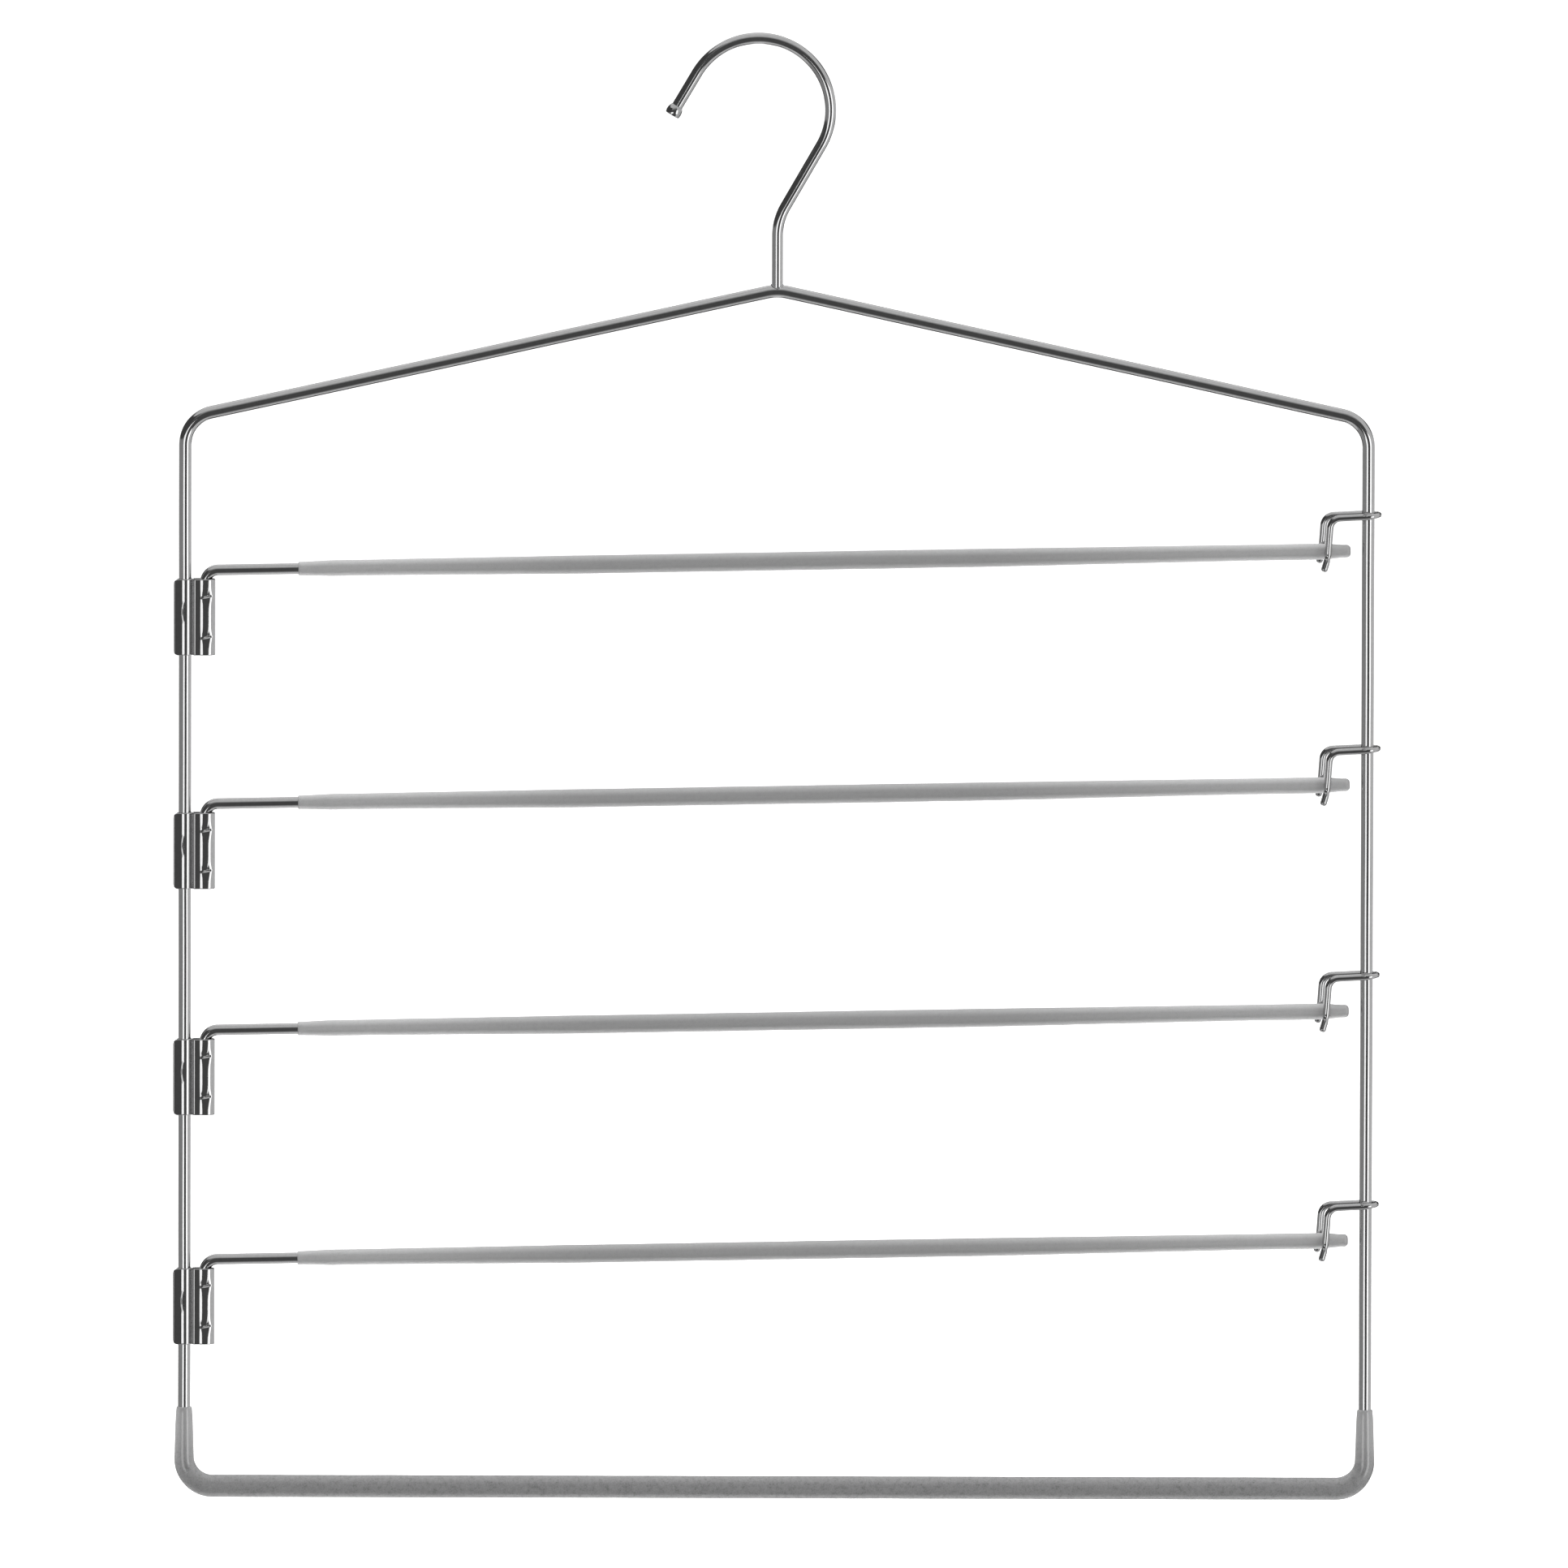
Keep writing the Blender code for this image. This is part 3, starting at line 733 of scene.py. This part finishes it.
# The plan with more columns where the blister will stand out
def closerAtBlister(plan):
    size = hingeClip
    run = runLength(plan)
    beside = plan[:, 0] + size["pinOffset"]
    leftmost = size["blisterEdges"][1] - size["blisterMargin"]
    blister = run[(run < run[-1] / 2) & (beside > leftmost) & (beside < 0)]
    closer = np.arange(blister[0], blister[-1], size["blisterColumns"])
    outside = run[(run <= closer[0]) | (run > closer[-1])]
    places = np.unique(np.concatenate([outside, closer]))
    return np.stack([np.interp(places, run, plan[:, axis]) for axis in (0, 1)], axis=1)


# Clip: the plan raised to its height and pressed in at the crimps, as a sheet with rounded edges
def clipGrid(height):
    size = hingeClip
    plan = clipPlan()
    run = runLength(plan)
    half = size["sheet"] / 2
    hem = half * (1 - np.cos(np.linspace(0, np.pi / 2, 6)))
    fine = np.linspace(half, size["height"] - half, 2000)
    closer, reach = size["crimpRows"]
    crowd = sum(np.exp(-(((fine + clipBottom - crimp) / reach) ** 2)) for crimp in crimpHeights)
    rank = np.cumsum(1 + closer * crowd)
    levels = np.interp(np.linspace(rank[0], rank[-1], size["rows"]), rank, fine)[1:-1]
    levels = np.concatenate([hem, levels, size["height"] - hem[::-1]]) / size["height"] * 2 - 1
    fromEnd = np.minimum(run, run[-1] - run)
    corner = size["flangeCorner"]
    short = corner - np.sqrt(corner**2 - np.clip(corner - fromEnd, 0, corner) ** 2)
    tall = size["height"] / 2 - short
    x = np.broadcast_to(plan[:, 0], (len(levels), len(plan)))
    y = np.broadcast_to(plan[:, 1], x.shape)
    z = levels[:, None] * tall + (clipTop + clipBottom) / 2
    inward = unit(np.stack([-np.gradient(plan[:, 1]), np.gradient(plan[:, 0])], axis=1))
    inward = np.append(inward, np.zeros((len(plan), 1)), axis=1)
    middle = np.stack([x, y, z], axis=2)
    press, blister = clipPress(x, y, z)
    edge = np.minimum((1 - np.abs(levels))[:, None] * tall, fromEnd)
    wall = half * np.sqrt(1 - (1 - np.minimum(edge / half, 1)) ** 2)
    front = middle + inward * (press - blister - wall)[..., None]
    rear = middle + inward * (press + wall)[..., None]
    grid = np.concatenate([front, rear[:, ::-1]], axis=1)
    return grid + np.array([pinX, 0, height])


# How far the sheet is pressed in and raised: each crimp is a bell-shaped hollow, e^-(x/a)^2-(z/b)^2, with a
# slanting V-shaped notch, and an almond-shaped blister, steep on its left, stands out beside the post
def clipPress(x, y, z):
    size = hingeClip
    left, right, tall = size["crimpSpread"]
    beside = x - size["crimpShift"]
    beside = beside / np.where(beside < 0, left, right)
    press = 0
    for crimp in crimpHeights:
        rise = z - crimp - size["crimpSlant"] * x
        press = press + size["crimpDepth"] * np.exp(-(beside**2) - (rise / tall) ** 2)
        across = easeIn(x, *size["notchRise"]) * (1 - easeIn(x, *size["notchFall"]))
        notch = np.clip(1 - np.hypot(rise / size["notchHalf"], size["notchBottom"]), 0, None)
        press = press + size["notchDepth"] * notch * across
    press = press * easeIn(-y, *size["pressDepth"]) * easeIn(x, *size["pressLeft"])
    beside = x + size["pinOffset"]
    rise = (z - (clipTop + clipBottom) / 2 - size["blisterPlace"]) / size["blisterHalf"]
    share = np.clip(1 - rise**2, 0, 1)
    end, middle, right = size["blisterEdges"]
    left = end + (middle - end) * share
    blister = size["blisterSlope"] * np.clip(right - beside, 0, None) * share ** size["blisterTaper"]
    blister = blister * easeIn(beside, left, left + size["blisterStep"])
    return press, blister * (y < -size["pressDepth"][0])


# Catch: a wire hairpin round the right post whose two legs straddle the arm's end

catchWire = {
    "radius": 0.00106,
    "headroom": 0.01145,  # wire axis above the bar's axis
    "reach": (0.0118, 0.0138),  # front and rear leg, from the right post's axis
    "runRise": math.radians(3.7),  # the two runs climb towards the post
    "rearLift": 0.050,  # how far the hairpin rises towards the back, per length
    "legDrop": (0.0017, 0.0019),  # leg below the bar's axis, to where its tip turns out
    "tipDrop": (0.0042, 0.0024),
    "tipFlare": (0.0011, 0.0008),
    "legLean": math.radians(4.2),
    "tipLean": math.radians(17.0),
    "legSpace": 0.00360,  # leg axis from the bar's axis
    "bend": 0.0034,
    "tipBend": 0.0016,
    "tipNeck": 0.18,  # how far the wire is nipped where the tip turns out
    "neckHalf": 0.0007,
    "tipRounding": 0.0008,
    "loopGap": 0.0003,
    "loopPoint": 0.00017,  # how far the loop is drawn out
    "loopThinning": 0.30,  # how far the weld has squeezed the loop
    "loopRange": (-0.0010, 0.0030),  # from the post's axis, where that sets in
    "step": 0.0004,
    "arcStep": 0.10,
    "closest": 0.00015,
    "sides": 24,
}
catchWeld = {
    "front": {"size": (0.0019, 0.0012, 0.0011), "place": (-0.0003, -0.0024, 0)},  # from the post's axis
    "rear": {"size": (0.0019, 0.0012, 0.0011), "place": (-0.0003, 0.0024, 0)},
    "spot": {"size": (0.00095, 0.00042, 0.00060), "place": (-0.0010, -0.0041, 0.0001)},  # pressed wire
}
weldLump = {"height": 0.25, "waves": ((2, 0.5), (3, 0.3), (5, 0.2)), "rows": 17, "sides": 24}


def catchHeight(height):
    fromPin = postRightX - catchWire["reach"][0] - pinX
    return height + fromPin * math.tan(armWire["rise"]) + catchWire["headroom"]


def catchGrid(height):
    size = catchWire
    loop = frameWire["radius"] + size["loopGap"] + size["radius"]
    down = np.array([-math.tan(size["legLean"]), 0, -1])
    tipDown = np.array([-math.tan(size["tipLean"]), 0, -1])
    corners = []
    for end, side in ((0, -1), (1, 1)):
        reach = size["reach"][end]
        top = np.array([-reach, side * size["legSpace"], -reach * math.tan(size["runRise"])])
        turnOut = top + down * (size["headroom"] + size["legDrop"][end] + top[2])
        tip = turnOut + tipDown * size["tipDrop"][end] + np.array([0, side * size["tipFlare"][end], 0])
        run = [tip, turnOut, top, np.array([loop, side * loop, 0])]
        corners += run if side < 0 else run[::-1]
    bends = [size["tipBend"], size["bend"], loop]
    path = bentPath(corners, bends + bends[::-1], size["step"], size["arcStep"], closest=size["closest"])
    loopEnd = easeIn(path[:, 0], *size["loopRange"])
    path[:, 0] += size["loopPoint"] * loopEnd
    path[:, 2] += size["rearLift"] * (path[:, 1] + size["legSpace"])
    neck = np.exp(-(((path[:, 2] + size["headroom"] + size["legDrop"][0]) / size["neckHalf"]) ** 2))
    radius = size["radius"] * (1 - size["loopThinning"] * loopEnd) * (1 - size["tipNeck"] * neck)
    across = (0.3, -0.5, 0.8)  # a direction in which no stretch of the wire runs
    grid = cappedTube(path, radius, size["sides"], size["tipRounding"], across)
    return grid + np.array([postRightX, 0, catchHeight(height)])


# Weld nugget: an ellipsoid whose girth swells and shrinks by a few sines
def nuggetGrid(height, weld, seed):
    wide, deep, tall = weld["size"]
    polar = np.linspace(0, np.pi, weldLump["rows"])[:, None]
    turn = np.linspace(0, 2 * np.pi, weldLump["sides"], endpoint=False)[None, :]
    phases = np.random.default_rng(seed).uniform(0, 2 * np.pi, len(weldLump["waves"]))
    swell = sum(part * np.sin(wave * turn + phase) for (wave, part), phase in zip(weldLump["waves"], phases))
    lump = 1 + weldLump["height"] * np.sin(polar) * swell
    x = wide * np.sin(polar) * np.cos(turn) * lump
    z = tall * np.sin(polar) * np.sin(turn) * lump
    y = deep * np.cos(polar) + 0 * turn
    origin = np.array([postRightX, 0, catchHeight(height)])
    lift = catchWire["rearLift"] * (weld["place"][1] + catchWire["legSpace"])
    return np.stack([x, y, z + lift], axis=2) + origin + np.array(weld["place"])


for number, (height, body) in enumerate(zip(tierHeights, tierBodies), start=1):
    arm = surface(f"swingArm_{number}", armGrid(height), chrome["arm"])
    place(arm, body, "arm_chrome", f"swing_arm_{number}")
    sleeveShape, sleeveShare = sleeveGrid(height)
    sleeve = surface(f"armSleeve_{number}", sleeveShape, armCoat, depth=sleeveShare)
    place(sleeve, body, "arm_coat_grey", f"arm_sleeve_{number}")
    clip = surface(f"hingeClip_{number}", clipGrid(height), chrome["clip"])
    place(clip, "frame", "clip_chrome", f"hinge_clip_{number}")
    catch = surface(f"catchWire_{number}", catchGrid(height), chrome["catch"])
    place(catch, "frame", "catch_chrome", f"catch_{number}")
    for seed, (label, weld) in enumerate(catchWeld.items(), start=number * 10):
        nugget = surface(f"catchWeld_{number}_{label}", nuggetGrid(height, weld, seed), chrome["weld"])
        place(nugget, "frame", "catch_chrome")
print("tiers done:", len(tierHeights))


# Studio: pale on the right, above and below, darker on the left and dark in front, with two softboxes in
# front and two behind, and dark flags before the white that lies behind. Angles are in degrees; azimuth 0
# points to the camera, and azimuths on the right are positive

studio = {
    "side": 0.80,
    "left": 0.36,
    "front": 0.10,
    "frontAzimuth": (-36, 40),
    "frontElevation": (-66, 36),
    "frontSoftness": 22,
    "leftAzimuth": (-150, -34),
    "leftElevation": (-45, 45),
    "upperLeft": 0.08,  # above the horizon on the left
    "horizon": 3,
    "backAzimuth": 140,  # white beyond it in reflections, but for the flags
    "backSoftness": 4,
    "flag": 0.08,  # dark boards behind, which draw the chrome's lines as seen from there
    "flags": (((118, 173), (-70, -9)), ((118, 200), (-48, -26)), ((118, 200), (8, 30))),
    "rear": 0.15,  # what the coats get from behind
    "rearAzimuth": 95,
    "rearSoftness": 8,
    "allRound": 200,  # past every azimuth
    "coatLight": 1.65,  # how much lighter the room is for the coats than in the chrome
}
softboxes = (
    {"name": "softboxLeft", "azimuth": (-34, -8), "elevation": (-14, 3)},
    {"name": "softboxRight", "azimuth": (30, 54), "elevation": (-27, 10)},
    {"name": "softboxRearLeft", "azimuth": (-164, -150), "elevation": (-50, -9)},
    {"name": "softboxRearRight", "azimuth": (150, 164), "elevation": (-50, -9)},
)
softboxLight = {"distance": 14.0, "radiance": 1.8}
plainLamps = (  # light the coats, leave no reflection
    {"name": "overhead", "offset": (0, 0.55, 1.5), "size": 0.5, "power": 26.0},
    {"name": "underneath", "offset": (0, 0.70, -1.5), "size": 0.5, "power": 38.0},
    {"name": "leftFill", "offset": (-1.6, 0.25, 0), "size": 0.5, "power": 15.0},
    {"name": "frontFill", "offset": (0, -3.0, 0), "size": 1.5, "power": 21.0},
)
floorLook = {"drop": 0.06, "size": 60.0, "tone": 0.80, "lift": 0.70}


def mathNode(nodes, links, operation, first, second=None):
    node = nodes.new("ShaderNodeMath")
    node.operation = operation
    for socket, value in zip(node.inputs, (first, second)):
        if value is None:
            continue
        if isinstance(value, (int, float)):
            socket.default_value = value
        else:
            links.new(value, socket)
    return node.outputs[0]


# 1 between the two angles, 0 outside, with edges blurred over blur degrees
def angleBand(nodes, links, value, low, high, blur=2.0):
    edges = []
    for angle, first, last in ((low, 0, 1), (high, 1, 0)):
        ramp = nodes.new("ShaderNodeMapRange")
        ramp.interpolation_type = "SMOOTHSTEP"
        ramp.inputs["From Min"].default_value = math.radians(angle - blur)
        ramp.inputs["From Max"].default_value = math.radians(angle + blur)
        ramp.inputs["To Min"].default_value = first
        ramp.inputs["To Max"].default_value = last
        links.new(value, ramp.inputs["Value"])
        edges.append(ramp.outputs["Result"])
    return mathNode(nodes, links, "MULTIPLY", *edges)


def mixLevel(nodes, links, below, above, share):
    mixed = nodes.new("ShaderNodeMix")
    links.new(share, mixed.inputs["Factor"])
    for socket, value in (("A", below), ("B", above)):
        if isinstance(value, float):
            mixed.inputs[socket].default_value = value
        else:
            links.new(value, mixed.inputs[socket])
    return mixed.outputs["Result"]


def studioWorld():
    world = bpy.data.worlds.new("studio")
    world.use_nodes = True
    nodes, links = world.node_tree.nodes, world.node_tree.links
    nodes.clear()
    split = nodes.new("ShaderNodeSeparateXYZ")
    links.new(nodes.new("ShaderNodeTexCoord").outputs["Generated"], split.inputs["Vector"])
    x, y, z = (split.outputs[name] for name in "XYZ")
    azimuth = mathNode(nodes, links, "ARCTAN2", x, mathNode(nodes, links, "MULTIPLY", y, -1.0))
    elevation = mathNode(nodes, links, "ARCSINE", z)

    def zone(azimuths, elevations, softness=2.0, bearing=azimuth):
        across = angleBand(nodes, links, bearing, *azimuths)
        upward = angleBand(nodes, links, elevation, *elevations, softness)
        return mathNode(nodes, links, "MULTIPLY", across, upward)

    path = nodes.new("ShaderNodeLightPath")
    aside = mathNode(nodes, links, "ABSOLUTE", azimuth)  # the same to the left and to the right
    flags = 0.0
    for azimuths, elevations in studio["flags"]:
        flags = mathNode(nodes, links, "MAXIMUM", zone(azimuths, elevations, bearing=aside), flags)
    beyond = studio["backAzimuth"], studio["allRound"], studio["backSoftness"]
    behind = angleBand(nodes, links, aside, *beyond)
    behind = mathNode(nodes, links, "MULTIPLY", behind, mathNode(nodes, links, "SUBTRACT", 1.0, flags))
    left = zone(studio["leftAzimuth"], studio["leftElevation"])
    level = mixLevel(nodes, links, studio["side"], studio["left"], left)
    upperLeft = zone(studio["leftAzimuth"], (studio["horizon"], studio["leftElevation"][1]))
    level = mixLevel(nodes, links, level, studio["upperLeft"], upperLeft)
    front = zone(studio["frontAzimuth"], studio["frontElevation"], studio["frontSoftness"])
    level = mixLevel(nodes, links, level, studio["front"], front)
    level = mixLevel(nodes, links, level, studio["flag"], flags)
    beyond = studio["rearAzimuth"], studio["allRound"], studio["rearSoftness"]
    rear = angleBand(nodes, links, aside, *beyond)
    forCoats = mixLevel(nodes, links, level, studio["rear"], rear)
    forCoats = mathNode(nodes, links, "MULTIPLY", forCoats, studio["coatLight"])
    level = mixLevel(nodes, links, level, forCoats, path.outputs["Is Diffuse Ray"])
    room = nodes.new("ShaderNodeBackground")
    links.new(level, room.inputs["Strength"])
    white = nodes.new("ShaderNodeBackground")
    mixed = nodes.new("ShaderNodeMixShader")
    metal = mathNode(nodes, links, "MULTIPLY", path.outputs["Is Glossy Ray"], behind)  # white in chrome too
    seen = mathNode(nodes, links, "ADD", path.outputs["Is Camera Ray"], metal)
    links.new(mathNode(nodes, links, "MINIMUM", seen, 1.0), mixed.inputs["Fac"])
    links.new(room.outputs["Background"], mixed.inputs[1])
    links.new(white.outputs["Background"], mixed.inputs[2])
    output = nodes.new("ShaderNodeOutputWorld")
    links.new(mixed.outputs["Shader"], output.inputs["Surface"])
    for shader in (room, white):
        shader.inputs["Color"].default_value = (1, 1, 1, 1)
    white.inputs["Strength"].default_value = 1.0
    return world


def aimed(name, data, location, target):
    thing = bpy.data.objects.new(name, data)
    thing.location = location
    direction = target - location
    thing.rotation_mode = "QUATERNION"
    thing.rotation_quaternion = direction.to_track_quat("-Z", "Y")
    scene.collection.objects.link(thing)
    return thing


scene.world = studioWorld()
middle = (cadLow + cadHigh) / 2


# A softbox fills its range of directions as seen from the object, and shows in reflections only
def addSoftbox(box):
    azimuth, elevation = (math.radians(sum(box[name]) / 2) for name in ("azimuth", "elevation"))
    wide, tall = (math.radians(box[name][1] - box[name][0]) for name in ("azimuth", "elevation"))
    distance = softboxLight["distance"]
    data = bpy.data.lights.new(box["name"], "AREA")
    data.shape = "RECTANGLE"
    data.size = 2 * distance * math.tan(wide / 2) * math.cos(elevation)
    data.size_y = 2 * distance * math.tan(tall / 2)
    data.energy = softboxLight["radiance"] * math.pi * data.size * data.size_y
    offset = middle.copy()
    offset.x += distance * math.sin(azimuth) * math.cos(elevation)
    offset.y -= distance * math.cos(azimuth) * math.cos(elevation)
    offset.z += distance * math.sin(elevation)
    light = aimed(box["name"], data, offset, middle)
    light.visible_camera = False
    light.visible_diffuse = False


for box in softboxes:
    addSoftbox(box)

for lamp in plainLamps:
    lampData = bpy.data.lights.new(lamp["name"], "AREA")
    lampData.size = lamp["size"]
    lampData.energy = lamp["power"]
    lampObject = aimed(lamp["name"], lampData, middle + Vector(lamp["offset"]), middle)
    lampObject.visible_camera = False
    lampObject.visible_glossy = False


# Floor: pale and lit, lifted to white for the camera; it shows nothing from below
def floorMaterial():
    material, nodes, links, shader = newMaterial("paleFloor")
    nodes.remove(shader)
    diffuse = nodes.new("ShaderNodeBsdfDiffuse")
    tone = floorLook["tone"]
    diffuse.inputs["Color"].default_value = (tone, tone, tone, 1)
    glow = nodes.new("ShaderNodeEmission")
    path = nodes.new("ShaderNodeLightPath")
    lift = mathNode(nodes, links, "MULTIPLY", path.outputs["Is Camera Ray"], floorLook["lift"])
    links.new(lift, glow.inputs["Strength"])
    both = nodes.new("ShaderNodeAddShader")
    links.new(diffuse.outputs["BSDF"], both.inputs[0])
    links.new(glow.outputs["Emission"], both.inputs[1])
    side = nodes.new("ShaderNodeNewGeometry")
    shown = nodes.new("ShaderNodeMixShader")
    links.new(side.outputs["Backfacing"], shown.inputs["Fac"])
    links.new(both.outputs["Shader"], shown.inputs[1])
    links.new(nodes.new("ShaderNodeBsdfTransparent").outputs["BSDF"], shown.inputs[2])
    links.new(shown.outputs["Shader"], nodes["Material Output"].inputs["Surface"])
    return material


def addFloor():
    half = floorLook["size"] / 2
    z = cadLow.z - floorLook["drop"]
    mesh = bpy.data.meshes.new("floor")
    corners = [(-half, -half, z), (half, -half, z), (half, half, z), (-half, half, z)]
    mesh.from_pydata(corners, [], [(0, 1, 2, 3)])
    mesh.materials.append(floorMaterial())
    floor = bpy.data.objects.new("floor", mesh)
    scene.collection.objects.link(floor)
    floor.visible_glossy = False
    floor.visible_diffuse = False
    floor.visible_shadow = False


addFloor()
print("studio done")


# Camera: the photograph's angle and framing

view = {
    "elevation": math.radians(6.0),
    "roll": math.radians(0.15),
    "distance": 14.0,
    "centreX": 0.00849,  # the point at the middle of the picture
    "centreZ": -0.2334,
    "width": 0.49266,  # what the picture spans at that point
    "sensor": 36.0,
    "farthest": 200.0,
}


def addCamera():
    data = bpy.data.cameras.new("camera")
    data.sensor_width = view["sensor"]
    data.lens = data.sensor_width * view["distance"] / view["width"]
    data.clip_end = view["farthest"]
    target = middle.copy()
    target.x, target.y, target.z = view["centreX"], 0, view["centreZ"]
    spot = target.copy()
    spot.y -= view["distance"] * math.cos(view["elevation"])
    spot.z += view["distance"] * math.sin(view["elevation"])
    camera = aimed("camera", data, spot, target)
    camera.rotation_mode = "XYZ"
    camera.rotation_euler = camera.rotation_quaternion.to_euler()
    camera.rotation_euler.rotate_axis("Z", view["roll"])
    scene.camera = camera


addCamera()
scene.view_settings.view_transform = "Standard"
